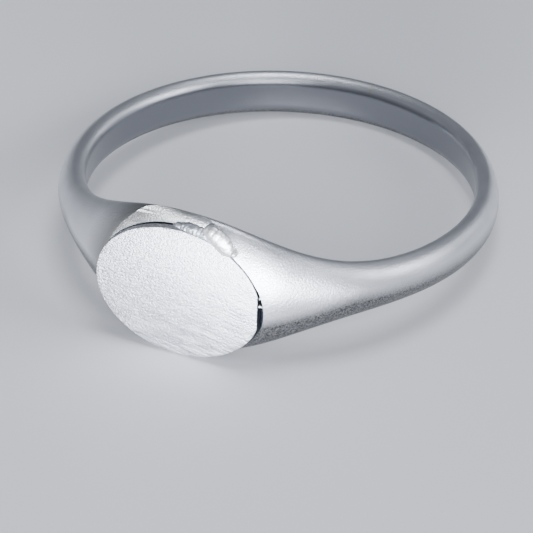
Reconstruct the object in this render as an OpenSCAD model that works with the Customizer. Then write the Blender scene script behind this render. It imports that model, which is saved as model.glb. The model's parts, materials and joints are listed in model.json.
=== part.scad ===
// Signet ring: a flared band with a separate oval face plate, soldered on.
//
// Units are millimetres. The origin is the centre of the finger bore, at the
// middle of the band's back. +Z runs along the bore, the head faces -Y, and
// +X runs along the long axis of the face plate. Angles round the band are
// measured from the head.

/* [Finger bore] */
// Inside diameter
bore_d = 17.3; // [15.5:0.1:20]

/* [Band] */
// Width along the finger at the back
back_w = 2.05; // [1.8:0.05:3]
// Width along the finger at the head
head_w = 6.75; // [6:0.05:8]
// Radial thickness at the back
back_t = 0.95; // [0.85:0.05:1.3]
// Radial thickness at the crest of the shoulders, beside the head
shoulder_t = 1.35; // [1.2:0.05:1.7]
// Angle from the head at which the flare has lost two thirds of its width
flare_angle = 34; // [26:1:42]
// How fast the flare turns in: 1 is a straight decay, 3 is nearly a step
flare_power = 2.2; // [1.8:0.1:2.6]
// Extra thickness left on the right shoulder, where it meets the plate
swell_t = 0.22; // [0:0.02:0.3]
// Slope of the filed head, which comes up level with the plate on the right
head_slope = 6; // [0:0.5:7]
// Width over which the head's upper edge is filed round
round_w = 1.3; // [0.8:0.05:1.4]
// How far the head falls back over that width
round_drop = 0.36; // [0.1:0.02:0.4]

/* [Band section] */
// Radial height of the widest line above the bore
widest_rise = 0.5; // [0.4:0.05:0.6]
// Radial reach of the rounded inner edge, a little more than that height
edge_reach = 0.6; // [0.55:0.05:0.75]
// Roundness of the crown: 2 is an ellipse, less is more pointed
crown_power = 1.75; // [1.6:0.05:2.4]

/* [Face plate] */
// Length of the oval, round the finger
plate_l = 8.1; // [7.6:0.1:8.1]
// Width of the oval, along the finger
plate_w = 6.2; // [5:0.1:6.8]
// Thickness
plate_t = 0.38; // [0.3:0.02:0.6]
// Distance from the bore's axis to the plate's front face
plate_front = 9.55; // [9.5:0.05:9.6]
// How far the plate was set below the middle of the head
plate_drop = 0.5; // [0:0.05:0.5]
// How far the plate was set to the left of the middle of the head
plate_shift = 0.2; // [0:0.05:0.2]
// How much of the oval's right end was filed flat
plate_flat = 0.15; // [0:0.01:0.2]
// Width of the open gap between the plate's flat end and the shoulder
gap_w = 0.22; // [0.14:0.02:0.3]
// Height of the hollow that makes the gap
gap_h = 3.1; // [2.4:0.1:3.2]

/* [Solder] */
// Thickness of the film under the plate
film_t = 0.06; // [0.04:0.01:0.1]
// How far the film stops short of the plate's edge
film_inset = 0.14; // [0.1:0.01:0.25]
// Width of the seam that closes the band at the back
seam_w = 0.12; // [0.08:0.01:0.2]
// Radius of the bead's main lump
bead_r = 0.5; // [0.44:0.02:0.54]
// How far right of the middle the bead sits
bead_x = 1.75; // [1.5:0.05:1.9]
// Radius of the domes in the flooded patch beside the bead
flow_r = 0.42; // [0.38:0.02:0.46]
// Radius of the tags that cross the gap
tag_r = 0.09; // [0.06:0.01:0.12]
// Distance between the two tags
tag_gap = 0.4; // [0.3:0.02:0.6]

/* [Hidden] */

bore_r = bore_d / 2;
plate_back = plate_front - plate_t;
seat = plate_back - film_t;

// steps round the band, and steps from the crest to an edge and round that edge
band_steps = 120;
crown_steps = 8;
edge_steps = 4;
plate_steps = 120;
lump_faces = 32;
bore_faces = 180;

// half height of the flat that is left between the inner edges at the back
inner_flat = 0.1;

// reach of a cutting block past the band
over = 2;

// how far behind the seat solder reaches where it runs over the head's edge
solder_root = 0.1;
// how deep the lumps and the flooded domes sink into the head, as a share of their radius
bead_sink = 0.25;
flow_sink = 0.7;
// the domes of the flooded patch, from left to right
flow_places = [for (i = [0:4]) bead_x - 2.3 + 0.32 * i];
// middle of the two tags, and how far their middle lines stand off the seat
tag_z = -0.05;
tag_lift = 0.19;

// the swell of the right shoulder: its angle from the head, and how far it reaches
swell_angle = 22;
swell_reach = 9;
// where the filed head leaves the seat's plane and starts to rise, as an X
rise_start = -1.2;
// how much wider than the plate its recess is, all round
recess_gap = 0.03;
// how far the gap's hollow reaches back under the plate
gap_inside = 0.7;
// steps of the head's rounded upper edge
round_steps = 8;

silver = "#c9ccd0";
plate_silver = "#e6e8ec";
solder_silver = "#f4f4f2";
flow_grey = "#b3b6ba";

// ---- the band's form ----

// width along the finger at an angle from the head, -180 to 180
function band_width(angle) =
    back_w + (head_w - back_w) * exp(-pow(abs(angle) / flare_angle, flare_power));

// radial thickness at the crest
function band_thickness(angle) =
    back_t + (shoulder_t - back_t) * (1 + cos(angle)) / 2
    + swell_t * exp(-pow((angle - swell_angle) / swell_reach, 2));

// a quarter of the crown, from the crest (turn 0) to the widest line (turn 90)
function crown_point(angle, turn) = [
    widest_rise + (band_thickness(angle) - widest_rise) * pow(cos(turn), 2 / crown_power),
    band_width(angle) / 2 * pow(sin(turn), 2 / crown_power)
];

// the rounded inner edge, from the widest line (turn 0) to the bore side (turn 90)
function edge_point(angle, turn) = [
    widest_rise - edge_reach * sin(turn),
    (band_width(angle) - back_w) / 2 + inner_flat + (back_w / 2 - inner_flat) * cos(turn)
];

// the upper half of one section as [height above the bore, z], crest first
function half_section(angle) = concat(
    [for (i = [0:crown_steps]) crown_point(angle, 90 * i / crown_steps)],
    [for (i = [1:edge_steps]) edge_point(angle, 90 * i / edge_steps)]
);

// the whole closed section: the upper half, then its mirror image without the crest
function section(angle) =
    let (upper = half_section(angle), last = len(upper) - 1)
    concat(upper, [for (i = [last:-1:1]) [upper[i][0], -upper[i][1]]]);

// places one [height, z] point at its angle round the band
function on_band(p, angle) = [
    (bore_r + p[0]) * sin(angle),
    -(bore_r + p[0]) * cos(angle),
    p[1]
];

// the band before the bore, the seat and the seam are cut
module band_blank() {
    angles = [for (i = [0:band_steps - 1]) 360 * i / band_steps - 180];
    rings = [for (angle = angles) section(angle)];
    ring_n = len(rings[0]);
    points = [for (i = [0:band_steps - 1]) for (p = rings[i]) on_band(p, angles[i])];
    faces = [
        for (i = [0:band_steps - 1]) for (j = [0:ring_n - 1])
            let (
                next_i = (i + 1) % band_steps,
                next_j = (j + 1) % ring_n,
                a = i * ring_n + j,
                b = i * ring_n + next_j,
                c = next_i * ring_n + next_j,
                d = next_i * ring_n + j
            )
            each [[a, b, c], [a, c, d]]
    ];
    polyhedron(points = points, faces = faces);
}

// the finger's space, a true cylinder
module finger_bore() {
    cylinder(h = head_w + over, r = bore_r, center = true, $fn = bore_faces);
}

// everything in front of a plane that faces -Y
module in_front_of(distance) {
    translate([-bore_r, -distance - 2 * over, -head_w])
        cube([2 * bore_r, 2 * over, 2 * head_w]);
}

// outline of what the file takes off the head, as [z, distance from the bore's axis]:
// flat, with the upper edge filed round
function filed_off() = concat(
    [[-head_w, seat + 2 * over], [-head_w, seat]],
    [
        for (i = [0:round_steps])
            let (turn = 90 * i / round_steps)
            [head_w / 2 - round_w * (1 - sin(turn)), seat - round_drop * (1 - cos(turn))]
    ],
    [[head_w, seat - round_drop], [head_w, seat + 2 * over]]
);

module file_stroke() {
    rotate([180, -90, 0])
        linear_extrude(height = 4 * bore_r, center = true)
            polygon(filed_off());
}

// everything in front of the filed head: level with the seat on the left, rising
// to the plate's front on the right
module in_front_of_head() {
    intersection() {
        file_stroke();
        translate([rise_start, -seat, 0])
            rotate([0, 0, -head_slope])
                translate([0, seat, 0])
                    file_stroke();
    }
}

// a thin slice through the back of the band
module seam_slice() {
    translate([-seam_w / 2, bore_r - over, -back_w])
        cube([seam_w, 2 * over, 2 * back_w]);
}

// ---- the plate's form ----

// points of an oval outline, with some of its right end taken off flat
function oval(half_l, half_w, flat) = [
    for (i = [0:plate_steps - 1])
        let (turn = 360 * i / plate_steps)
        [min(half_l * cos(turn), half_l - flat), half_w * sin(turn)]
];

// an oval disc on the plate's long axis, whose back face is a distance from the
// bore's axis
module oval_disc(x, back, thickness, half_l, half_w, flat = 0) {
    translate([x, -back, -plate_drop])
        rotate([90, 0, 0])
            linear_extrude(height = thickness)
                polygon(oval(half_l, half_w, flat));
}

// a disc of the plate's own outline, larger by a margin all round
module plate_disc(back, thickness, margin) {
    oval_disc(
        -plate_shift, back, thickness,
        plate_l / 2 + margin, plate_w / 2 + margin, plate_flat
    );
}

// the hollow that leaves a gap past the plate's right end
module gap_hollow() {
    oval_disc(
        plate_l / 2 - plate_flat - plate_shift - gap_inside, seat, over,
        gap_inside + gap_w, gap_h / 2
    );
}

// ---- the solder's form ----

// where the plate's upper edge stands at an X, as a z
function plate_top(x) =
    plate_w / 2 * sqrt(1 - pow((x + plate_shift) / (plate_l / 2), 2)) - plate_drop;

// distance of the filed head from the bore's axis at an X
function head_front(x) = seat + max(0, (x - rise_start) * tan(head_slope));

// a round lump, sunk into the filed head
module lump(x, z, r, sink) {
    translate([x, -head_front(x) + sink, z])
        sphere(r = r, $fn = lump_faces);
}

// one lump of the bead: its place along the plate's edge and its rise above that
// edge, and its radius, all as shares of the main lump's radius
module bead_lump(along, rise, size) {
    x = bead_x + along * bead_r;
    r = size * bead_r;
    lump(x, plate_top(x) + rise * bead_r, r, bead_sink * r);
}

// trims solder to what stands on the band's outside, beside the plate and clear of
// its front
module laid_on_the_head() {
    difference() {
        intersection() {
            children();
            in_front_of(seat - solder_root);
        }
        band_with_head();
        plate_disc(seat, over, 0);
    }
}

// a tag is a thin thread of solder that bridges the gap
module solder_tag(z) {
    color(solder_silver)
        difference() {
            intersection() {
                gap_hollow();
                translate([0, -seat - tag_lift, z])
                    rotate([0, 90, 0])
                        cylinder(h = bore_r, r = tag_r, $fn = lump_faces);
            }
            plate_disc(seat, over, 0);
        }
}

// ---- the pieces ----

module band_with_head() {
    difference() {
        band_blank();
        in_front_of_head();
    }
}

module shank() {
    color(silver)
        difference() {
            band_with_head();
            finger_bore();
            seam_slice();
            plate_disc(seat, over, recess_gap);
            gap_hollow();
        }
}

module shank_seam() {
    color(solder_silver)
        difference() {
            intersection() {
                band_blank();
                seam_slice();
            }
            finger_bore();
        }
}

module seat_solder() {
    color(solder_silver)
        plate_disc(seat, film_t, -film_inset);
}

module face_plate() {
    color(plate_silver)
        plate_disc(plate_back, plate_t, 0);
}

module solder_bead() {
    color(solder_silver)
        laid_on_the_head() {
            bead_lump(0, 0.55, 1);
            bead_lump(-0.85, 0.5, 0.8);
            bead_lump(0.95, 0.25, 0.66);
        }
}

module solder_flow() {
    color(flow_grey)
        laid_on_the_head()
            for (x = flow_places)
                lump(x, plate_top(x), flow_r, flow_sink * flow_r);
}

module solder_tag_upper() {
    solder_tag(tag_z + tag_gap / 2);
}

module solder_tag_lower() {
    solder_tag(tag_z - tag_gap / 2);
}

shank();
shank_seam();
seat_solder();
face_plate();
solder_bead();
solder_flow();
solder_tag_upper();
solder_tag_lower();
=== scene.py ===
"""A small signet ring in sterling silver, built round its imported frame.

The band flares from a narrow back to a broad head, and a separate oval plate is
soldered on the front of the head. Every form is modelled in millimetres and
brought to the frame's metres when it is finished.
"""

import json
import logging
import math
from contextlib import contextmanager
from dataclasses import dataclass
from enum import Enum
from typing import Callable, Iterator

import bmesh
import bpy
from mathutils import Matrix, Vector


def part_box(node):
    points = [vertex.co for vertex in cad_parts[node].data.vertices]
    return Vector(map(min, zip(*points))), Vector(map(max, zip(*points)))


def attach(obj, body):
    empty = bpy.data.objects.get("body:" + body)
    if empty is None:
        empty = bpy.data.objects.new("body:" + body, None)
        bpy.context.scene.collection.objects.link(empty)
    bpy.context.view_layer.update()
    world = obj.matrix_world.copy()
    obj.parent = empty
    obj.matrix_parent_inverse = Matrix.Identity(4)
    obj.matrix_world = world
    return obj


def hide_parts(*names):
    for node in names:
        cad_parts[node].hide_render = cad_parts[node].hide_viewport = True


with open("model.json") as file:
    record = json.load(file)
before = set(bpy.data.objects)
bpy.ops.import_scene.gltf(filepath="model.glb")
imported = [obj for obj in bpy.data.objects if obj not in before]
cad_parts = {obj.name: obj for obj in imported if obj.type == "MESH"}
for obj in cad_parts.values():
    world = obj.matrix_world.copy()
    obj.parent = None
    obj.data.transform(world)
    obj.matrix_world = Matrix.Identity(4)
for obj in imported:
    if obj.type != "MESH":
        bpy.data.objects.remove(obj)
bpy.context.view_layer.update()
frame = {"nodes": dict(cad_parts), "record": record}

MM = 0.001
"""One millimetre in the frame's metres."""

HAIR = 1e-4
"""A distance too small to matter, in millimetres."""

LOG = logging.getLogger("signet_ring")

Material = bpy.types.Material
Socket = bpy.types.NodeSocket
Thing = bpy.types.Object
Tree = bpy.types.NodeTree


# ---------------------------------------------------------------- colour and nodes


def linear(hex_colour: str) -> tuple[float, float, float, float]:
    """Turns an sRGB hex colour into linear light.

    Args:
        hex_colour: six hex digits with a leading hash.

    Returns:
        Red, green, blue and an alpha of one.
    """
    def channel(start: int) -> float:
        value = int(hex_colour[start:start + 2], 16) / 255
        return value / 12.92 if value <= 0.04045 else ((value + 0.055) / 1.055) ** 2.4

    return (channel(1), channel(3), channel(5), 1.0)


def add_node(
    tree: Tree, kind: str, inputs: dict[str | int, object] | None = None, **settings: object,
) -> bpy.types.Node:
    """Adds one node with its settings, its values and its links.

    Args:
        tree: the node tree that takes the node.
        kind: the node's type name.
        inputs: for each input, by name or index, its value or the socket linked into it.
        **settings: attributes of the node itself.

    Returns:
        The new node.
    """
    node = tree.nodes.new(kind)
    for name, value in settings.items():
        setattr(node, name, value)
    for name, value in (inputs or {}).items():
        if isinstance(value, Socket):
            tree.links.new(value, node.inputs[name])
        else:
            node.inputs[name].default_value = value
    return node


@dataclass(frozen=True)
class Finish:
    """One finish: a named silver surface with its colour, gloss and pattern."""

    name: str
    pale: str
    dark: str
    roughness: float
    roughness_swing: float
    """How much the pattern adds to and takes from the roughness."""
    hollow_shade_colour: str = "#43484F"
    # Painted shade that darkens the head's hollows, the plate's recess and the gap.
    """Dark scale that soldering leaves in corners."""

    def make(self) -> Material:
        """Makes the material.

        Returns:
            The finished material.
        """
        material = bpy.data.materials.new(self.name)
        material.use_nodes = True
        tree = material.node_tree
        tree.nodes.clear()
        place = add_node(tree, "ShaderNodeTexCoord").outputs["Object"]
        colour, rough, normal = self.pattern(tree, place)
        shader = add_node(tree, "ShaderNodeBsdfPrincipled", {
            "Metallic": 1.0, "Base Color": colour, "Roughness": rough, "Normal": normal,
        })
        add_node(tree, "ShaderNodeOutputMaterial", {"Surface": shader.outputs[0]})
        return material

    def pattern(self, tree: Tree, place: Socket) -> tuple[Socket, Socket, Socket]:
        """Makes the pattern of the finish.

        Args:
            tree: the material's node tree.
            place: the object coordinates, in metres.

        Returns:
            The colour, roughness and normal sockets.
        """
        raise NotImplementedError

    def grain(
        self, tree: Tree, place: Socket, size_mm: tuple[float, float, float],
        detail: float = 2.0, turn: tuple[float, float, float] = (0.0, 0.0, 0.0),
    ) -> Socket:
        """Lays a grain of a real size through the metal.

        Args:
            tree: the material's node tree.
            place: the object coordinates, in metres.
            size_mm: the grain's length along each axis.
            detail: how many finer layers it has.
            turn: its turn about each axis, in radians.

        Returns:
            The grain, from 0 to 1.
        """
        turned = add_node(tree, "ShaderNodeMapping", {"Vector": place, "Rotation": turn})
        sized = add_node(tree, "ShaderNodeMapping", {
            "Vector": turned.outputs[0], "Scale": tuple(1 / (MM * size) for size in size_mm),
        })
        return add_node(tree, "ShaderNodeTexNoise", {
            "Vector": sized.outputs[0], "Scale": 1.0, "Detail": detail, "Roughness": 0.55,
        }).outputs[0]

    def layered(self, tree: Tree, layers: tuple[tuple[Socket, float], ...]) -> Socket:
        """Lays the marks of one tool over the marks of another.

        Args:
            tree: the material's node tree.
            layers: each layer's height, from 0 to 1, and its depth in millimetres.

        Returns:
            The normal of the marked surface.
        """
        below = {}
        for height, depth_mm in layers:
            marked = add_node(tree, "ShaderNodeBump", {
                "Height": height, "Strength": 1.0, "Distance": depth_mm * MM, **below,
            })
            below = {"Normal": marked.outputs[0]}
        return below["Normal"]

    def mottled(
        self, tree: Tree, grain: Socket, tones: tuple[str, str],
        span: tuple[float, float] = (0.3, 0.7),
    ) -> Socket:
        """Colours a grain with two tones.

        Args:
            tree: the material's node tree.
            grain: the grain, from 0 to 1.
            tones: the hex colours of its low and its high places.
            span: the part of its range over which one tone turns into the other.

        Returns:
            The colour.
        """
        share = add_node(tree, "ShaderNodeMapRange", {
            "Value": grain, "From Min": span[0], "From Max": span[1],
        })
        return add_node(tree, "ShaderNodeMix", {
            0: share.outputs[0], 6: linear(tones[0]), 7: linear(tones[1]),
        }, data_type="RGBA").outputs[2]

    def gloss(self, tree: Tree, grain: Socket) -> Socket:
        """Lets the roughness swing about its middle with a grain."""
        return add_node(tree, "ShaderNodeMapRange", {
            "Value": grain, "From Min": 0.3, "From Max": 0.7,
            "To Min": self.roughness - self.roughness_swing,
            "To Max": self.roughness + self.roughness_swing,
        }).outputs[0]

    def within(self, tree: Tree, limits: tuple[tuple[Socket, float, float], ...]) -> Socket:
        """Finds what lies within all of some limits.

        Args:
            tree: the material's node tree.
            limits: each measure, the value that meets its limit and the value that misses it.

        Returns:
            1 where every limit is met and 0 where one is missed.
        """
        share = 1.0
        for measure, met, missed in limits:
            share = add_node(tree, "ShaderNodeMapRange", {
                "Value": measure, "From Min": met, "From Max": missed,
                "To Min": share, "To Max": 0.0,
            }).outputs[0]
        return share

    def reach(
        self, tree: Tree, place: Socket, oval: tuple[float, float, float, float],
    ) -> Socket:
        """Measures a place from an oval's middle, with the oval's edge at a length of one.

        Args:
            tree: the material's node tree.
            place: the object coordinates, in metres.
            oval: the oval's middle x and z, half length and half height, in millimetres.

        Returns:
            The vector from the middle, seen from the front.
        """
        x, z, half_length, half_height = oval
        moved = add_node(tree, "ShaderNodeMapping", {
            "Vector": place, "Location": (-x * MM, 0.0, -z * MM),
        })
        return add_node(tree, "ShaderNodeMapping", {
            "Vector": moved.outputs[0],
            "Scale": (1 / (half_length * MM), 0.0, 1 / (half_height * MM)),
        }).outputs[0]

    def shade_hollow(
        self, tree: Tree, place: Socket, colour: Socket,
        hollow: tuple[float, float, float, float], span: tuple[float, float],
    ) -> Socket:
        """Paints shade inside an oval hollow in the head.

        Args:
            tree: the material's node tree.
            place: the object coordinates, in metres.
            colour: the colour without the painted shade.
            hollow: the oval's middle x and z, half length and half height, in millimetres.
            span: distances from the bore's axis at which the scale starts and ends.

        Returns:
            The colour with the painted shade on it.
        """
        reach = add_node(tree, "ShaderNodeVectorMath", {
            0: self.reach(tree, place, hollow),
        }, operation="LENGTH")
        depth = add_node(tree, "ShaderNodeSeparateXYZ", {0: place}).outputs["Y"]
        (start, end), edge = span, 0.01
        share = self.within(tree, (
            (reach.outputs["Value"], 1.001, 1.006),
            (depth, -(start + edge) * MM, -(start - edge) * MM),
            (depth, -(end - edge) * MM, -(end + edge) * MM),
        ))
        return add_node(tree, "ShaderNodeMix", {
            0: share, 6: colour, 7: linear(self.hollow_shade_colour),
        }, data_type="RGBA").outputs[2]


@dataclass(frozen=True)
class EmerySatin(Finish):
    """Sterling silver rubbed with fine emery: a soft grey sheen with a fine sparkle.

    The bore is smoother, because a mandrel has rubbed it, and its wall is painted darker:
    painted shade and dark reflection. The lower face is painted darker too, with painted
    glints in its grain, and the filed margin is painted a shade darker. The plate's recess
    and the gap are painted in shade.
    """

    grain_mm: float = 0.08
    """Width of an emery scratch. Real ones are near 0.01 mm: these are coarse enough to show."""
    grain_depth_mm: float = 0.016
    file_wave_mm: float = 1.2
    """Length of the slow waves that the file left."""
    file_depth_mm: float = 0.008
    bore_mm: float = 8.65
    bore_roughness: float = 0.3
    bore_calm: float = 0.35
    """Depth of the emery grain in the bore, as a share of its depth outside."""
    # painted shade and dark reflection: the bore's wall is painted darker than the rest
    bore_shade_tone: str = "#84868B"
    lower_shade_and_glints: tuple[str, str] = ("#4A4A4B", "#9A9A9A")
    # The lower face's painted shade and painted glints: its dark specks and its pale ones.
    """The hollows and the glints of the lower face."""
    margin_shade_tone: str = "#9C9C9A"
    # Painted shade on the head's filed margin, which damps its bright reflection.
    """The head's filed margin, which the torch left a little dull."""
    margin_front: tuple[float, float] = (9.0, 8.4)
    # Distances in front of the bore's axis between which the painted shade fades.
    """Distances in front of the bore's axis between which the dullness fades."""
    margin_end: tuple[float, float] = (-0.2, 1.3)
    """X between which it fades, under the solder bead."""
    crest_front: tuple[float, float] = (9.3, -0.95)
    # Distance in front of the bore's axis and z of the line below which the band's lower face is
    # painted in shade, beside the head.
    """Distance in front of the bore's axis and z of the line below which the band was not
    polished, beside the head."""
    crest_side: tuple[float, float] = (6.8, 0.15)
    """The same line, at the side of the band."""
    crest_fade: tuple[float, float] = (0.5, -0.15)
    # Depth below that line at which the painted shade is full, and at which it is gone.
    """Depth below that line at which the polish is gone, and at which it is whole."""
    hollows: tuple[tuple[float, float, float, float], ...] = ()
    # Ovals on the head painted in shade: middle x and z, half length, half height.
    """Ovals on the head that the emery misses: middle x and z, half length, half height."""
    hollow_span: tuple[float, float] = (8.9, 10.0)
    # Distances from the bore's axis between which those hollows are painted in shade.
    """Distances from the bore's axis between which those hollows keep their scale."""

    def pattern(self, tree: Tree, place: Socket) -> tuple[Socket, Socket, Socket]:
        """Makes the emery grain, the file's slow waves, the smoother bore and the painted shade.

        Args:
            tree: the material's node tree.
            place: the object coordinates, in metres.

        Returns:
            The colour, roughness and normal sockets.
        """
        emery = self.grain(tree, place, (self.grain_mm,) * 3, detail=3.0)
        waves = self.grain(tree, place, (self.file_wave_mm,) * 3, detail=1.0)
        outside = self.outside_bore(tree, place)
        rough = add_node(tree, "ShaderNodeMix", {
            0: outside, 2: self.bore_roughness, 3: self.gloss(tree, emery),
        })
        calm = add_node(tree, "ShaderNodeMix", {0: outside, 2: self.bore_calm, 3: 1.0})
        deep = add_node(tree, "ShaderNodeMath", {
            0: emery, 1: calm.outputs[0],
        }, operation="MULTIPLY")
        normal = self.layered(tree, (
            (waves, self.file_depth_mm), (deep.outputs[0], self.grain_depth_mm),
        ))
        colour = self.mottled(tree, waves, (self.dark, self.pale))
        under = self.mottled(tree, emery, self.lower_shade_and_glints, (0.36, 0.7))
        # painted shade on the lower face (with painted glints), the bore and the margin is each
        # laid over what is there
        for inputs in (
            {0: self.in_lower_shade(tree, place), 7: under},
            {0: outside, 6: linear(self.bore_shade_tone)},
            {0: self.on_margin(tree, place), 7: linear(self.margin_shade_tone)},
        ):
            colour = add_node(
                tree, "ShaderNodeMix", {6: colour, 7: colour, **inputs}, data_type="RGBA",
            ).outputs[2]
        # painted shade inside the plate's recess and the gap
        for hollow in self.hollows:
            colour = self.shade_hollow(tree, place, colour, hollow, self.hollow_span)
        return colour, rough.outputs[0], normal

    def outside_bore(self, tree: Tree, place: Socket) -> Socket:
        """Gives 1 outside the bore's wall and 0 on it."""
        flat = add_node(tree, "ShaderNodeMapping", {
            "Vector": place, "Scale": (1 / MM, 1 / MM, 0.0),
        })
        radius = add_node(tree, "ShaderNodeVectorMath", {0: flat.outputs[0]}, operation="LENGTH")
        wall = self.bore_mm
        return self.within(tree, ((radius.outputs["Value"], wall + 0.12, wall + 0.02),))

    def on_margin(self, tree: Tree, place: Socket) -> Socket:
        """Gives 1 on the head's filed margin, to the left of the bead, and 0 well away."""
        axes = add_node(tree, "ShaderNodeSeparateXYZ", {0: place})
        (front, behind), (left, right) = self.margin_front, self.margin_end
        return self.within(tree, (
            (axes.outputs["Y"], -front * MM, -behind * MM),
            (axes.outputs["X"], left * MM, right * MM),
        ))

    def in_lower_shade(self, tree: Tree, place: Socket) -> Socket:
        """Gives 1 well below the line under which the lower face is painted in shade and 0 above
        it.
        """
        axes = add_node(tree, "ShaderNodeSeparateXYZ", {0: place})
        (front, front_z), (side, side_z) = self.crest_front, self.crest_side
        line = add_node(tree, "ShaderNodeMapRange", {
            "Value": axes.outputs["Y"], "From Min": -front * MM, "From Max": -side * MM,
            "To Min": front_z * MM, "To Max": side_z * MM,
        })
        fall = add_node(tree, "ShaderNodeMath", {
            0: line.outputs[0], 1: axes.outputs["Z"],
        }, operation="SUBTRACT")
        gone, whole = self.crest_fade
        return self.within(tree, ((fall.outputs[0], gone * MM, whole * MM),))


@dataclass(frozen=True)
class BrushedSterling(Finish):
    """Sterling silver brushed along the oval: near white, with fine lines and a crossed grain."""

    line_mm: float = 0.08
    """Width of a brushed line. Real ones are near 0.02 mm: these are coarse enough to show."""
    line_length_mm: float = 1.3
    line_depth_mm: float = 0.01
    grain_mm: float = 0.085
    """Width of the random grain, drawn coarser than real in the same way."""
    grain_depth_mm: float = 0.034
    turn: float = -0.15
    """Slant of the lines, in radians."""
    swell_mm: float = 0.42
    """How far the plate's shading swells to its middle: hand filing leaves no plate flat."""
    middle: tuple[float, float, float, float] = (0.0, 0.0, 1.0, 1.0)
    """The plate's middle x and z, half length and half height."""
    hollow: tuple[float, float, float, float] = (0.0, 0.0, 1.0, 1.0)
    # The gap past its right end, where the plate's edge is painted in shade.
    """The gap past its right end, where the edge keeps its scale."""
    hollow_span: tuple[float, float] = (0.0, 1.0)
    # Distances from the bore's axis between which the edge is painted in shade.
    """Distances from the bore's axis between which the edge keeps it."""

    def pattern(self, tree: Tree, place: Socket) -> tuple[Socket, Socket, Socket]:
        """Makes the random grain, and the brushed lines that cross it at the lower right.

        Args:
            tree: the material's node tree.
            place: the object coordinates, in metres.

        Returns:
            The colour, roughness and normal sockets.
        """
        lines = self.grain(
            tree, place, (self.line_length_mm, self.line_mm, self.line_mm),
            turn=(0.0, self.turn, 0.0),
        )
        grain = self.grain(tree, place, (self.grain_mm,) * 3, detail=3.0)
        reach = self.reach(tree, place, self.middle)
        aim = add_node(tree, "ShaderNodeSeparateXYZ", {0: reach})
        lower_right = add_node(tree, "ShaderNodeMath", {
            0: aim.outputs["X"], 1: aim.outputs["Z"],
        }, operation="SUBTRACT")
        share = add_node(tree, "ShaderNodeMapRange", {
            "Value": lower_right.outputs[0], "From Min": -0.4, "From Max": 0.9,
            "To Min": 0.15, "To Max": 0.85,
        }).outputs[0]
        mixed = add_node(tree, "ShaderNodeMix", {0: share, 2: grain, 3: lines}).outputs[0]
        deep_lines = add_node(tree, "ShaderNodeMath", {0: lines, 1: share}, operation="MULTIPLY")
        normal = self.layered(tree, (
            (self.dome(tree, reach), self.swell_mm),
            (deep_lines.outputs[0], self.line_depth_mm), (grain, self.grain_depth_mm),
        ))
        colour = self.mottled(tree, mixed, (self.dark, self.pale))
        # painted shade on the plate's edge inside the gap
        colour = self.shade_hollow(tree, place, colour, self.hollow, self.hollow_span)
        return colour, self.gloss(tree, mixed), normal

    def dome(self, tree: Tree, reach: Socket) -> Socket:
        """Gives the height of the plate's swell, 1 at its middle and 0 at its edge."""
        length = add_node(tree, "ShaderNodeVectorMath", {0: reach}, operation="LENGTH")
        square = add_node(tree, "ShaderNodeMath", {
            0: length.outputs["Value"], 1: 2.0,
        }, operation="POWER")
        return self.within(tree, ((square.outputs[0], 0.0, 1.0),))


@dataclass(frozen=True)
class Solder(Finish):
    """Hard silver solder as it froze: a little warmer than the sterling, with fine pits."""

    pit_mm: float = 0.12
    """Width of a pit. Real ones are finer: these are coarse enough to show."""
    pit_depth_mm: float = 0.01

    def pattern(self, tree: Tree, place: Socket) -> tuple[Socket, Socket, Socket]:
        """Makes the pitted skin and its mottled colour.

        Args:
            tree: the material's node tree.
            place: the object coordinates, in metres.

        Returns:
            The colour, roughness and normal sockets.
        """
        pits = self.grain(tree, place, (self.pit_mm,) * 3, detail=3.0)
        mottle = self.grain(tree, place, (3 * self.pit_mm,) * 3, detail=1.0)
        normal = self.layered(tree, ((pits, self.pit_depth_mm),))
        colour = self.mottled(tree, mottle, (self.dark, self.pale))
        return colour, self.gloss(tree, pits), normal


# ---------------------------------------------------------------- modelling by hand


class Part(Enum):
    """What a selection picks."""

    VERTS = "VERT"
    EDGES = "EDGE"
    FACES = "FACE"


class Keep(Enum):
    """What a cut leaves."""

    OUTSIDE = "DIFFERENCE"
    SHARED = "INTERSECT"


Test = Callable[[Vector], bool]
"""Says whether something at a place is wanted."""


def start_clean() -> None:
    """Leaves nothing selected."""
    for thing in bpy.context.selected_objects:
        thing.select_set(False)


def take(thing: Thing) -> None:
    """Makes one object the only selected and the active one."""
    start_clean()
    thing.select_set(True)
    bpy.context.view_layer.objects.active = thing


@contextmanager
def editing(thing: Thing) -> Iterator[None]:
    """Opens an object's mesh for editing with nothing selected, and closes it after."""
    take(thing)
    bpy.ops.object.mode_set(mode="EDIT")
    bpy.ops.mesh.select_all(action="DESELECT")
    yield
    bpy.ops.object.mode_set(mode="OBJECT")


def pick(thing: Thing, part: Part, wanted: Test) -> int:
    """Selects only what stands at a wanted place in the mesh that is being edited.

    Args:
        thing: the object in edit mode.
        part: whether corners, edges or faces are picked.
        wanted: the test, on a corner's place or on the middle of an edge or face.

    Returns:
        How many were picked.
    """
    bpy.ops.mesh.select_mode(type=part.value)
    mesh = bmesh.from_edit_mesh(thing.data)
    for item in (*mesh.verts, *mesh.edges, *mesh.faces):
        item.select = False
    found = 0
    if part is Part.VERTS:
        for corner in mesh.verts:
            corner.select_set(wanted(corner.co))
            found += corner.select
    elif part is Part.EDGES:
        for edge in mesh.edges:
            edge.select_set(wanted((edge.verts[0].co + edge.verts[1].co) / 2))
            found += edge.select
    else:
        for face in mesh.faces:
            face.select_set(wanted(face.calc_center_median()))
            found += face.select
    mesh.select_flush_mode()
    bmesh.update_edit_mesh(thing.data)
    return found


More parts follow.
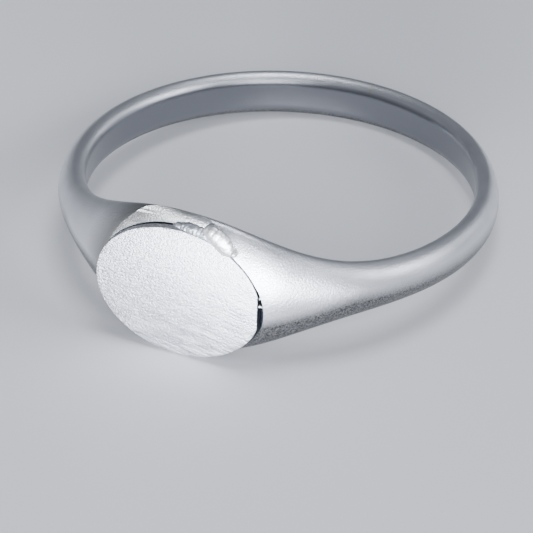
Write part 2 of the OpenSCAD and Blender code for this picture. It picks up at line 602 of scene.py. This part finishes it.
def apply_modifier(thing: Thing, kind: str, **settings: object) -> None:
    """Adds a modifier to an object, sets it and applies it.

    Args:
        thing: the object.
        kind: the modifier's type.
        **settings: its settings.
    """
    take(thing)
    modifier = thing.modifiers.new(kind.lower(), kind)
    for name, value in settings.items():
        setattr(modifier, name, value)
    bpy.ops.object.modifier_apply(modifier=modifier.name)


def subdivide(thing: Thing, levels: int) -> None:
    """Rounds a mesh with a subdivision surface and applies it."""
    apply_modifier(thing, "SUBSURF", levels=levels, render_levels=levels)


def unevenness(name: str, size_mm: float) -> bpy.types.Texture:
    """Makes the cloud texture that a displacement reads.

    Args:
        name: the texture's name.
        size_mm: the size of its clouds.

    Returns:
        The texture.
    """
    clouds = bpy.data.textures.new(name, "CLOUDS")
    clouds.noise_scale = size_mm
    clouds.noise_depth = 1
    return clouds


def copy_of(thing: Thing, name: str) -> Thing:
    """Copies an object with its own mesh."""
    twin = thing.copy()
    twin.data = thing.data.copy()
    twin.name = name
    bpy.context.scene.collection.objects.link(twin)
    return twin


def discard(thing: Thing) -> None:
    """Deletes a tool that has done its work."""
    take(thing)
    bpy.ops.object.delete()


def block(low: tuple[float, float, float], high: tuple[float, float, float]) -> Thing:
    """Makes a box between two corners, in millimetres."""
    start_clean()
    middle = tuple((a + b) / 2 for a, b in zip(low, high))
    bpy.ops.mesh.primitive_cube_add(size=1.0, location=middle)
    box = bpy.context.object
    bpy.ops.transform.resize(
        value=tuple(b - a for a, b in zip(low, high)), center_override=middle,
    )
    bpy.ops.object.transform_apply(location=True, rotation=True, scale=True)
    return box


def oval_disc(
    centre: tuple[float, float],
    half: tuple[float, float],
    back: float,
    depth: float,
    flat: float = 0.0,
    corners: int = 144,
) -> Thing:
    """Makes an oval disc that faces the front.

    Args:
        centre: its middle, as x and z.
        half: half its length and half its height.
        back: its back's distance from the bore's axis.
        depth: how thick it is.
        flat: how much of its right end is taken off flat.
        corners: corners round it.

    Returns:
        The closed disc.
    """
    start_clean()
    place = (centre[0], -back, centre[1])
    bpy.ops.mesh.primitive_circle_add(
        vertices=corners, radius=1.0, fill_type="NGON", location=place,
        rotation=(math.pi / 2, 0.0, 0.0),
    )
    disc = bpy.context.object
    bpy.ops.object.transform_apply(location=True, rotation=True, scale=True)
    with editing(disc):
        bpy.ops.mesh.select_all(action="SELECT")
        bpy.ops.transform.resize(value=(half[0], 1.0, half[1]), center_override=place)
        end = centre[0] + half[0] - flat
        if pick(disc, Part.VERTS, lambda p: p.x > end + HAIR / 100):
            bpy.ops.transform.resize(value=(0.0, 1.0, 1.0), center_override=(end, 0.0, 0.0))
        bpy.ops.mesh.select_mode(type="FACE")
        bpy.ops.mesh.select_all(action="SELECT")
        bpy.ops.mesh.extrude_region_move(
            TRANSFORM_OT_translate={"value": (0.0, -depth, 0.0)},
        )
        bpy.ops.mesh.select_all(action="SELECT")
        bpy.ops.mesh.normals_make_consistent(inside=False)
    return disc


def profile_block(
    outline: list[tuple[float, float]], reach: float,
) -> Thing:
    """Makes a bar along X from the outline of its end.

    Args:
        outline: the corners in order, as z and distance in front of the bore's axis.
        reach: half the bar's length.

    Returns:
        The closed bar.
    """
    start_clean()
    bpy.ops.mesh.primitive_plane_add(size=1.0)
    bar = bpy.context.object
    with editing(bar):
        bpy.ops.mesh.select_all(action="SELECT")
        bpy.ops.mesh.merge(type="CENTER")
        bpy.ops.mesh.select_mode(type="VERT")
        bpy.ops.mesh.select_all(action="SELECT")
        bpy.ops.transform.translate(value=(-reach, -outline[0][1], outline[0][0]))
        for (z, front), (next_z, next_front) in zip(outline, outline[1:]):
            bpy.ops.mesh.extrude_region_move(
                TRANSFORM_OT_translate={"value": (0.0, front - next_front, next_z - z)},
            )
        bpy.ops.mesh.select_all(action="SELECT")
        bpy.ops.mesh.edge_face_add()
        bpy.ops.mesh.extrude_region_move(
            TRANSFORM_OT_translate={"value": (2 * reach, 0.0, 0.0)},
        )
        bpy.ops.mesh.select_all(action="SELECT")
        bpy.ops.mesh.normals_make_consistent(inside=False)
    return bar


def cut_with(
    thing: Thing, tool: Thing, keep: Keep = Keep.OUTSIDE,
) -> None:
    """Cuts a solid with a tool and discards the tool.

    Args:
        thing: the solid.
        tool: the closed tool.
        keep: whether what is outside the tool stays, or what the two share.
    """
    apply_modifier(thing, "BOOLEAN", operation=keep.value, object=tool, solver="EXACT")
    discard(tool)


def finish_piece(
    thing: Thing,
    name: str,
    material: Material,
    node: str,
    smooth_deg: float = 180.0,
) -> Thing:
    """Brings a piece to the frame's metres, dresses it and hangs it on the frame.

    Args:
        thing: the modelled object, in millimetres.
        name: the piece's name.
        material: its finish.
        node: the frame's node that it stands for.
        smooth_deg: edges sharper than this stay sharp.

    Returns:
        The finished piece.
    """
    thing.name = name
    thing.data.name = name
    with editing(thing):
        bpy.ops.mesh.select_all(action="SELECT")
        bpy.ops.mesh.remove_doubles(threshold=HAIR / 10)
        bpy.ops.mesh.normals_make_consistent(inside=False)
    take(thing)
    bpy.ops.transform.resize(value=(MM,) * 3, center_override=(0.0, 0.0, 0.0))
    bpy.ops.object.transform_apply(location=True, rotation=True, scale=True)
    bpy.ops.object.shade_smooth_by_angle(angle=math.radians(smooth_deg))
    thing.data.materials.clear()
    thing.data.materials.append(material)
    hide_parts(node)
    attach(thing, "root")
    LOG.info("%s: %d faces", name, len(thing.data.polygons))
    return thing


# ---------------------------------------------------------------- the head


@dataclass(frozen=True)
class Head:
    """Where the plate stands on the head, in millimetres."""

    x: float
    z: float
    half_length: float
    half_width: float
    back: float
    """Distance from the bore's axis to the plate's back."""
    front: float
    seat: float
    """Distance from the bore's axis to the seat under the plate."""
    flat: float
    """How much of the oval's right end is taken off flat."""

    @classmethod
    def from_frame(cls, flat: float = 0.15) -> "Head":
        """Reads the plate's and the film's places from the frame.

        Args:
            flat: how much of the oval's right end is taken off flat.

        Returns:
            The head.
        """
        low, high = (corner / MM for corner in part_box("face_plate"))
        return cls(
            x=(low.x + high.x + flat) / 2, z=(low.z + high.z) / 2,
            half_length=(high.x + flat - low.x) / 2, half_width=(high.z - low.z) / 2,
            back=-high.y, front=-low.y, seat=-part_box("seat_solder")[1].y / MM, flat=flat,
        )

    def hollow_shade_span(self) -> tuple[float, float]:
        """Gives the distances from the bore's axis between which an edge is painted in shade."""
        return (self.seat - 0.2, self.front - 0.03)


# ---------------------------------------------------------------- the band


@dataclass
class Band:
    """The flared band, the flat seat that takes the plate, and the seam at the back."""

    satin: Material
    filed_solder: Material
    bore: float
    """Radius of the bore."""
    head: Head
    back_width: float = 2.05
    head_width: float = 6.75
    back_thickness: float = 0.95
    shoulder_thickness: float = 1.35
    widest_rise: float = 0.5
    edge_reach: float = 0.6
    crown_power: float = 1.75
    flare: float = math.radians(34)
    flare_power: float = 2.2
    swell: float = 0.22
    """Extra thickness of the right shoulder, where it meets the plate."""
    swell_angle: float = math.radians(22)
    swell_reach: float = math.radians(9)
    head_slope: float = math.radians(6)
    """Slope of the filed head, which comes up level with the plate on the right."""
    rise_start: float = -1.2
    round_width: float = 1.3
    """Width over which the head's upper edge is filed round."""
    round_drop: float = 0.36
    recess_gap: float = 0.03
    """How much wider than the plate its recess is."""
    gap_width: float = 0.22
    gap_height: float = 3.1
    gap_inside: float = 0.7
    seam: float = 0.12
    corners: int = 32
    """Corners in one section."""
    stations: int = 120
    """Sections round the band."""

    @classmethod
    def recess(cls, head: Head) -> tuple[float, float, float, float]:
        """The plate's recess: its middle x and z, half length and half height."""
        spare = cls.recess_gap
        return (head.x, head.z, head.half_length + spare, head.half_width + spare)

    @classmethod
    def gap(cls, head: Head) -> tuple[float, float, float, float]:
        """The hollow past the plate's right end, in the same terms."""
        return (
            head.x + head.half_length - head.flat - cls.gap_inside, head.z,
            cls.gap_inside + cls.gap_width, cls.gap_height / 2,
        )

    def width(self, angle: float) -> float:
        """Width along the finger at an angle from the head."""
        fall = math.exp(-(abs(angle) / self.flare) ** self.flare_power)
        return self.back_width + (self.head_width - self.back_width) * fall

    def thickness(self, angle: float) -> float:
        """Radial thickness at the crest at an angle from the head."""
        share = (1 + math.cos(angle)) / 2
        swell = self.swell * math.exp(-((angle - self.swell_angle) / self.swell_reach) ** 2)
        return (
            self.back_thickness + (self.shoulder_thickness - self.back_thickness) * share + swell
        )

    def section(self) -> Thing:
        """Makes the section of the back, standing where the head will be.

        Returns:
            An object that holds one closed loop.
        """
        middle = -(self.bore + self.widest_rise)
        half = self.back_width / 2
        crown = self.back_thickness - self.widest_rise
        start_clean()
        bpy.ops.mesh.primitive_circle_add(
            vertices=self.corners, radius=half, location=(0.0, middle, 0.0),
            rotation=(0.0, math.pi / 2, 0.0),
        )
        loop = bpy.context.object
        bpy.ops.object.transform_apply(location=True, rotation=True, scale=True)
        centre = (0.0, middle, 0.0)
        with editing(loop):
            # the crown's corners move out from an ellipse to its own, more pointed curve
            for step in range(1, self.corners // 4):
                turn = 2 * math.pi * step / self.corners
                depth = half * math.cos(turn)
                height = half * math.sin(turn)
                pick(loop, Part.VERTS, lambda p: (
                    p.y < middle - HAIR and abs(middle - p.y - depth) < HAIR
                    and abs(abs(p.z) - height) < HAIR
                ))
                power = 2 / self.crown_power
                bpy.ops.transform.resize(
                    value=(
                        1.0,
                        math.cos(turn) ** (power - 1),
                        math.sin(turn) ** (power - 1),
                    ),
                    center_override=centre,
                )
            pick(loop, Part.VERTS, lambda p: p.y < middle - HAIR)
            bpy.ops.transform.resize(value=(1.0, crown / half, 1.0), center_override=centre)
            pick(loop, Part.VERTS, lambda p: p.y > middle + HAIR)
            bpy.ops.transform.resize(
                value=(1.0, self.edge_reach / half, 1.0), center_override=centre,
            )
            # whatever reaches past the bore's wall is laid flat on it
            pick(loop, Part.VERTS, lambda p: p.y > -self.bore)
            bpy.ops.transform.resize(
                value=(1.0, 0.0, 1.0), center_override=(0.0, -self.bore, 0.0),
            )
        return loop

    def sweep(self, loop: Thing) -> None:
        """Spins the section round the bore and gives each station its width and thickness."""
        with editing(loop):
            bpy.ops.mesh.select_all(action="SELECT")
            bpy.ops.mesh.spin(
                steps=self.stations, angle=2 * math.pi, center=(0.0, 0.0, 0.0),
                axis=(0.0, 0.0, 1.0), use_auto_merge=True,
            )
            bpy.ops.mesh.select_all(action="SELECT")
            bpy.ops.mesh.remove_doubles(threshold=HAIR)
            for station in range(self.stations):
                self.shape_station(loop, 2 * math.pi * station / self.stations)

    def shape_station(self, loop: Thing, turn: float) -> None:
        """Widens and thickens one section, in edit mode.

        Args:
            loop: the band.
            turn: the station's angle from the head, from 0 to a full turn.
        """
        angle = turn if turn <= math.pi else turn - 2 * math.pi
        out = Vector((math.sin(angle), -math.cos(angle), 0.0))
        side = Vector((math.cos(angle), math.sin(angle), 0.0))
        widest = self.bore + self.widest_rise
        extra = self.width(angle) - self.back_width
        crown = (self.thickness(angle) - self.widest_rise) / (
            self.back_thickness - self.widest_rise
        )

        def here(p: Vector) -> bool:
            return abs(p.dot(side)) < 0.05 and p.dot(out) > 0

        pick(loop, Part.VERTS, lambda p: here(p) and p.dot(out) > widest - 10 * HAIR)
        bpy.ops.transform.resize(
            value=(1.0, 1.0, self.width(angle) / self.back_width),
            center_override=(0.0, 0.0, 0.0),
        )
        bpy.ops.transform.resize(value=(crown, crown, 1.0), center_override=tuple(out * widest))
        for sign in (1, -1):
            pick(loop, Part.VERTS, lambda p: (
                here(p) and p.dot(out) < widest - 10 * HAIR and sign * p.z > 10 * HAIR
            ))
            bpy.ops.transform.translate(value=(0.0, 0.0, sign * extra / 2))

    def file_head(self, ring: Thing) -> None:
        """Files the head, sinks the plate's recess and opens the gap past its right end."""
        head = self.head
        reach = 2.0
        top = self.head_width / 2
        steps = 10
        outline = [(-2 * top, head.seat + reach), (-2 * top, head.seat)]
        for step in range(steps + 1):
            turn = math.pi / 2 * step / steps
            outline.append((
                top - self.round_width * (1 - math.sin(turn)),
                head.seat - self.round_drop * (1 - math.cos(turn)),
            ))
        outline += [(2 * top, head.seat - self.round_drop), (2 * top, head.seat + reach)]
        file = profile_block(outline, self.bore)
        sloped = copy_of(file, "sloped file")
        with editing(sloped):
            bpy.ops.mesh.select_all(action="SELECT")
            bpy.ops.transform.rotate(
                value=self.head_slope, orient_axis="Z",
                center_override=(self.rise_start, -head.seat, 0.0),
            )
        cut_with(file, sloped, Keep.SHARED)
        cut_with(ring, file)
        for (x, z, half_length, half_height), flat in (
            (self.recess(head), head.flat), (self.gap(head), 0.0),
        ):
            cut_with(ring, oval_disc(
                (x, z), (half_length, half_height), head.seat, reach, flat,
            ))

    def build(self) -> list[Thing]:
        """Builds the band and its seam.

        Returns:
            The two finished pieces.
        """
        ring = self.section()
        self.sweep(ring)
        subdivide(ring, 2)
        with editing(ring):
            bpy.ops.mesh.select_all(action="SELECT")
            bpy.ops.mesh.normals_make_consistent(inside=False)
        solder = copy_of(ring, "solder")
        back = self.bore + 2 * self.back_thickness
        for thing, keep in ((ring, Keep.OUTSIDE), (solder, Keep.SHARED)):
            slit = block(
                (-self.seam / 2, 0.0, -self.back_width), (self.seam / 2, back, self.back_width),
            )
            cut_with(thing, slit, keep)
        self.file_head(ring)
        band = finish_piece(ring, "band", self.satin, "shank", smooth_deg=32.0)
        seam = finish_piece(
            solder, "band_seam", self.filed_solder, "shank_seam", smooth_deg=50.0,
        )
        return [band, seam]


# ---------------------------------------------------------------- the face plate


@dataclass
class FacePlate:
    """The oval plate: flat, with a softened rim that has a slight burr on the left."""

    brushed: Material
    head: Head
    rim: float = 0.035
    """Width of the softened front rim."""
    back_rim: float = 0.025
    burr: float = 0.02
    """How far the burr stands off the plate's front."""
    burr_width: float = 0.16
    burr_end: float = 1.0
    """How far left of the plate's middle the burr ends."""

    def build(self) -> Thing:
        """Builds the plate.

        Returns:
            The finished piece.
        """
        head = self.head
        plate = oval_disc(
            (head.x, head.z), (head.half_length, head.half_width),
            head.back, head.front - head.back, head.flat,
        )
        with editing(plate):
            pick(plate, Part.FACES, lambda p: p.y < -head.front + HAIR)
            bpy.ops.mesh.inset(thickness=self.burr_width)
        self.raise_burr(plate)
        with editing(plate):
            pick(plate, Part.EDGES, lambda p: p.y < -head.front + 10 * HAIR and self.on_rim(p))
            bpy.ops.mesh.bevel(offset=self.rim, segments=4, profile=0.5, affect="EDGES")
            pick(plate, Part.EDGES, lambda p: p.y > -head.back - HAIR)
            bpy.ops.mesh.bevel(offset=self.back_rim, segments=2, profile=0.5, affect="EDGES")
        return finish_piece(
            plate, "face_plate_oval", self.brushed, "face_plate", smooth_deg=40.0,
        )

    def on_rim(self, place: Vector) -> bool:
        """Says whether a place stands on the plate's outline, seen from the front."""
        head = self.head
        across = (place.x - head.x) / head.half_length
        up = (place.z - head.z) / head.half_width
        on_end = abs(place.x - (head.x + head.half_length - head.flat)) < 10 * HAIR
        return on_end or abs(math.hypot(across, up) - 1) < 20 * HAIR

    def raise_burr(self, plate: Thing) -> None:
        """Raises the rim on the left, where the saw left it proud."""
        head = self.head
        with editing(plate):
            pick(plate, Part.VERTS, lambda p: (
                p.y < -head.front + HAIR and self.on_rim(p) and p.x < head.x - self.burr_end
            ))
            bpy.ops.transform.translate(value=(0.0, -self.burr, 0.0))


# ---------------------------------------------------------------- the solder


@dataclass(frozen=True)
class Lump:
    """One lump of melted solder, placed on the head."""

    x: float
    z: float
    radius: float
    depth: float = 0.6
    """Its depth, as a share of its radius."""


@dataclass
class MeltedSolder:
    """Solder that ran, froze in lumps and was left as it was."""

    frozen: Material
    flooded: Material
    head: Head
    grid: float = 0.022
    """Width of the fine grid that the lumps are melted together on."""
    softening: int = 10
    """How many times the melted skin is smoothed."""
    root: float = 0.05
    """How far behind the seat a body reaches."""
    thread_corners: int = 20
    thread_widening: tuple[float, ...] = (0.6, 0.85, 1.1, 1.7)
    """How much a tag's thread widens at each step across the gap."""

    def front_at(self, x: float) -> float:
        """Distance of the filed head from the bore's axis at an x."""
        return self.head.seat + max(0.0, (x - Band.rise_start) * math.tan(Band.head_slope))

    def melt(
        self, lumps: tuple[Lump, ...], lift: float, rough: float, cloud: float,
    ) -> Thing:
        """Melts lumps into one body.

        Args:
            lumps: the lumps.
            lift: how far their middles stand off the head.
            rough: how strongly the skin is disturbed.
            cloud: the size of the disturbance.

        Returns:
            The body, flat where it is sunk into the head.
        """
        start_clean()
        balls = []
        for lump in lumps:
            place = (lump.x, -self.front_at(lump.x) - lift, lump.z)
            bpy.ops.mesh.primitive_ico_sphere_add(
                subdivisions=4, radius=lump.radius, location=place,
            )
            ball = bpy.context.object
            bpy.ops.transform.resize(value=(1.0, lump.depth, 1.0), center_override=place)
            bpy.ops.object.transform_apply(location=True, rotation=True, scale=True)
            balls.append(ball)
        start_clean()
        for ball in balls:
            ball.select_set(True)
        bpy.context.view_layer.objects.active = balls[0]
        bpy.ops.object.join()
        body = bpy.context.object
        apply_modifier(body, "REMESH", mode="VOXEL", voxel_size=self.grid)
        apply_modifier(body, "SMOOTH", factor=0.5, iterations=self.softening)
        apply_modifier(
            body, "DISPLACE", texture=unevenness("skin", cloud), strength=rough,
            mid_level=0.5, texture_coords="LOCAL",
        )
        with editing(body):
            bpy.ops.mesh.select_all(action="SELECT")
            bpy.ops.mesh.bisect(
                plane_co=(0.0, self.root - self.head.seat, 0.0), plane_no=(0.0, 1.0, 0.0),
                use_fill=True, clear_outer=True, threshold=HAIR / 10,
            )
        return body

    def bead(self) -> Thing:
        """Builds the bright bead, with the small round one at its lower right tip."""
        body = self.melt((
            Lump(1.22, 2.86, 0.32), Lump(1.42, 2.78, 0.42), Lump(1.62, 2.68, 0.46),
            Lump(1.82, 2.56, 0.46), Lump(2.02, 2.4, 0.4), Lump(2.16, 2.24, 0.3, 0.7),
            Lump(1.64, 2.3, 0.16, 0.9), Lump(1.8, 2.17, 0.15, 1.2), Lump(1.96, 2.06, 0.14, 1.2),
            Lump(2.5, 2.17, 0.15, 1.2),
        ), lift=0.05, rough=0.025, cloud=0.22)
        return finish_piece(body, "bead", self.frozen, "solder_bead", smooth_deg=70.0)

    def flow(self) -> Thing:
        """Builds the flooded patch along the plate's upper edge."""
        places = [-0.6 + 0.16 * step for step in range(13)]
        body = self.melt(tuple(
            Lump(x, 2.66 - 0.15 * (x - 0.3) ** 2, 0.27 - 0.1 * (x - 0.5) ** 2, 0.8)
            for x in places
        ), lift=0.02, rough=0.07, cloud=0.2)
        return finish_piece(body, "flow", self.flooded, "solder_flow", smooth_deg=70.0)

    def tag(self, name: str, node: str) -> Thing:
        """Builds one thin thread of solder across the gap, thicker where it meets a wall.

        Args:
            name: the piece's name.
            node: the frame's node, which gives its place.

        Returns:
            The finished piece.
        """
        low, high = (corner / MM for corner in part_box(node))
        middle = (low + high) / 2
        half = (high.z - low.z) / 2
        start_clean()
        bpy.ops.mesh.primitive_circle_add(
            vertices=self.thread_corners, radius=half, fill_type="NGON",
            location=(low.x, middle.y, middle.z), rotation=(0.0, math.pi / 2, 0.0),
        )
        thread = bpy.context.object
        bpy.ops.object.transform_apply(location=True, rotation=True, scale=True)
        step = (high.x - low.x) / len(self.thread_widening)
        with editing(thread):
            bpy.ops.mesh.select_all(action="SELECT")
            at = low.x
            for widening in self.thread_widening:
                at += step
                bpy.ops.mesh.extrude_region_move(
                    TRANSFORM_OT_translate={"value": (step, 0.0, 0.0)},
                )
                bpy.ops.transform.resize(
                    value=(1.0, widening, widening), center_override=(at, middle.y, middle.z),
                )
        return finish_piece(thread, name, self.frozen, node, smooth_deg=60.0)

    def build(self) -> list[Thing]:
        """Builds the bead, the flooded patch and the two tags.

        Returns:
            The finished pieces.
        """
        return [
            self.bead(), self.flow(),
            self.tag("tag_upper", "solder_tag_upper"), self.tag("tag_lower", "solder_tag_lower"),
        ]


# ---------------------------------------------------------------- the studio


@dataclass(frozen=True)
class Softbox:
    """One soft light: where it hangs, how large it is and how bright its face is."""

    name: str
    towards: tuple[float, float, float]
    distance: float
    width: float
    height: float
    brightness: float
    colour: str = "#F1F5FF"


@dataclass
class Studio:
    """The floor that the ring lies on, the lights and the camera."""

    foot: tuple[float, float] = (-9.17, -3.6)
    """Where the plate's lower edge touches the floor, as y and z."""
    heel: tuple[float, float] = (9.15, -1.02)
    """Where the back of the band touches the floor, as y and z."""
    floor_size: float = 1200.0
    paper_colour: str = "#ECECED"
    room_colour: str = "#DDE4F2"
    room_brightness: float = 0.24
    # each light's name, direction, distance, width, height and brightness, in millimetres;
    # the low ones in front are strips that the plate and the lower shoulder reflect
    boxes: tuple[Softbox, ...] = (
        Softbox("front_right", (0.52, -0.72, 0.42), 300.0, 150.0, 100.0, 5.5),
        Softbox("front_right_low", (0.46, -0.87, -0.08), 300.0, 120.0, 34.0, 160.0),
        Softbox("right", (0.9, 0.1, 0.45), 300.0, 150.0, 100.0, 7.0),
        Softbox("back_right", (0.6, 0.75, 0.3), 300.0, 80.0, 60.0, 3.0),
        Softbox("overhead", (0.1, -0.1, 0.98), 300.0, 110.0, 110.0, 9.0),
        Softbox("front_low", (-0.1, -0.985, -0.1), 220.0, 70.0, 16.0, 300.0),
    )
    azimuth: float = math.radians(26.1)
    elevation: float = math.radians(29.6)
    roll: float = math.radians(1.8)
    distance: float = 800.0
    view_width: float = 23.67
    """Width of the view at the ring."""
    aim_right: float = -0.627
    """How far right of the bore's middle the camera looks, and how far above it."""
    aim_up: float = -3.364

    def camera(self) -> Thing:
        """Places the camera in front of the head, to the right and above.

        Returns:
            The camera.
        """
        back = Vector((
            math.sin(self.azimuth) * math.cos(self.elevation),
            -math.cos(self.azimuth) * math.cos(self.elevation),
            math.sin(self.elevation),
        ))
        right = (-back).cross(Vector((0.0, 0.0, 1.0))).normalized()
        up = right.cross(-back)
        level_right, level_up = right.copy(), up.copy()
        right = level_right * math.cos(self.roll) + level_up * math.sin(self.roll)
        up = level_up * math.cos(self.roll) - level_right * math.sin(self.roll)
        place = back * self.distance + right * self.aim_right + up * self.aim_up
        lens = bpy.data.cameras.new("camera")
        lens.sensor_width = 36.0
        lens.lens = lens.sensor_width * self.distance / self.view_width
        lens.clip_start = self.distance * MM / 10
        lens.clip_end = self.distance * MM * 10
        camera = bpy.data.objects.new("camera", lens)
        bpy.context.scene.collection.objects.link(camera)
        turn = Matrix((right, up, back)).transposed()
        camera.matrix_world = Matrix.Translation(place * MM) @ turn.to_4x4()
        bpy.context.scene.camera = camera
        return camera

    def softbox(self, box: Softbox) -> Thing:
        """Hangs one softbox, aimed at the ring."""
        light = bpy.data.lights.new(box.name, "AREA")
        light.shape = "RECTANGLE"
        light.size, light.size_y = box.width * MM, box.height * MM
        light.color = linear(box.colour)[:3]
        light.energy = box.brightness * math.pi * light.size * light.size_y
        lamp = bpy.data.objects.new(box.name, light)
        bpy.context.scene.collection.objects.link(lamp)
        away = Vector(box.towards).normalized()
        lamp.matrix_world = (
            Matrix.Translation(away * box.distance * MM)
            @ away.to_track_quat("Z", "Y").to_matrix().to_4x4()
        )
        return lamp

    def floor(self) -> Thing:
        """Lays the pale floor under the ring, which rests on the plate's foot and its back."""
        front = Vector((0.0, self.foot[0], self.foot[1]))
        back = Vector((0.0, self.heel[0], self.heel[1]))
        tilt = math.atan2(back.z - front.z, back.y - front.y)
        start_clean()
        bpy.ops.mesh.primitive_plane_add(
            size=self.floor_size * MM, location=(front + back) / 2 * MM, rotation=(tilt, 0.0, 0.0),
        )
        plane = bpy.context.object
        plane.name = "floor"
        plane.data.materials.append(self.paper())
        return plane

    def paper(self) -> Material:
        """Makes the floor's plain pale paper: dull, with no pattern."""
        material = bpy.data.materials.new("studio_paper")
        material.use_nodes = True
        tree = material.node_tree
        tree.nodes.clear()
        shader = add_node(tree, "ShaderNodeBsdfPrincipled", {
            "Base Color": linear(self.paper_colour), "Roughness": 0.9,
        })
        add_node(tree, "ShaderNodeOutputMaterial", {"Surface": shader.outputs[0]})
        return material

    def sky(self) -> None:
        """Fills the room with even, pale light."""
        world = bpy.data.worlds.new("studio_room")
        bpy.context.scene.world = world
        world.use_nodes = True
        tree = world.node_tree
        tree.nodes.clear()
        glow = add_node(tree, "ShaderNodeBackground", {
            "Color": linear(self.room_colour), "Strength": self.room_brightness,
        })
        add_node(tree, "ShaderNodeOutputWorld", {"Surface": glow.outputs[0]})

    def build(self) -> None:
        """Builds the whole setting."""
        self.sky()
        self.floor()
        for box in self.boxes:
            self.softbox(box)
        self.camera()


def main() -> None:
    """Builds the ring and its setting, in order."""
    logging.basicConfig(level=logging.INFO, format="%(name)s %(message)s")
    head = Head.from_frame()
    # fine emery leaves sterling silver with a soft grey sheen and no sharp reflections
    satin = EmerySatin(
        "sterling_emery_satin", pale="#E4E5E8", dark="#DCDDE0",
        # the plate's recess and the gap are painted in shade
        roughness=0.36, roughness_swing=0.06, hollows=(Band.recess(head), Band.gap(head)),
    ).make()
    # solder filed flush takes the same sheen, a shade warmer than the sterling beside it
    filed = EmerySatin(
        "solder_filed_flush", pale="#E4E2DC", dark="#DAD8D2",
        roughness=0.38, roughness_swing=0.06,
    ).make()
    # a brushed plate is nearly white, and its lines break each reflection up into grain
    brushed = BrushedSterling(
        "sterling_brushed", pale="#FCFCFD", dark="#B2B4BE",
        roughness=0.42, roughness_swing=0.12,
        middle=(head.x, head.z, head.half_length, head.half_width),
        # the plate's edge in the gap is painted in shade
        hollow=Band.gap(head), hollow_span=head.hollow_shade_span(),
    ).make()
    # solder that froze clean is the brightest metal here, with soft highlights on its lumps
    frozen = Solder(
        "solder_frozen_bright", pale="#FFFFFE", dark="#F6F6F5",
        roughness=0.46, roughness_swing=0.06,
    ).make()
    # solder that flooded and was heated again has a grey, rougher skin
    flooded = Solder(
        "solder_flooded_grey", pale="#CDD0D5", dark="#B4B8BF",
        roughness=0.5, roughness_swing=0.1,
    ).make()
    # the real solder film under the plate is painted dark and dull: painted shade along the seam
    # between plate and seat
    film = Solder(
        "solder_film_painted_shade", pale="#6E6B66", dark="#4E4B48",
        roughness=0.6, roughness_swing=0.1,
    ).make()
    bore = frame["record"]["mounts"][0]["dims"]["r_mm"]
    Band(satin, filed, bore, head).build()
    FacePlate(brushed, head).build()
    MeltedSolder(frozen, flooded, head).build()
    node = frame["nodes"]["seat_solder"]
    node.data.materials.clear()
    node.data.materials.append(film)
    Studio().build()


if __name__ == "__main__":
    main()
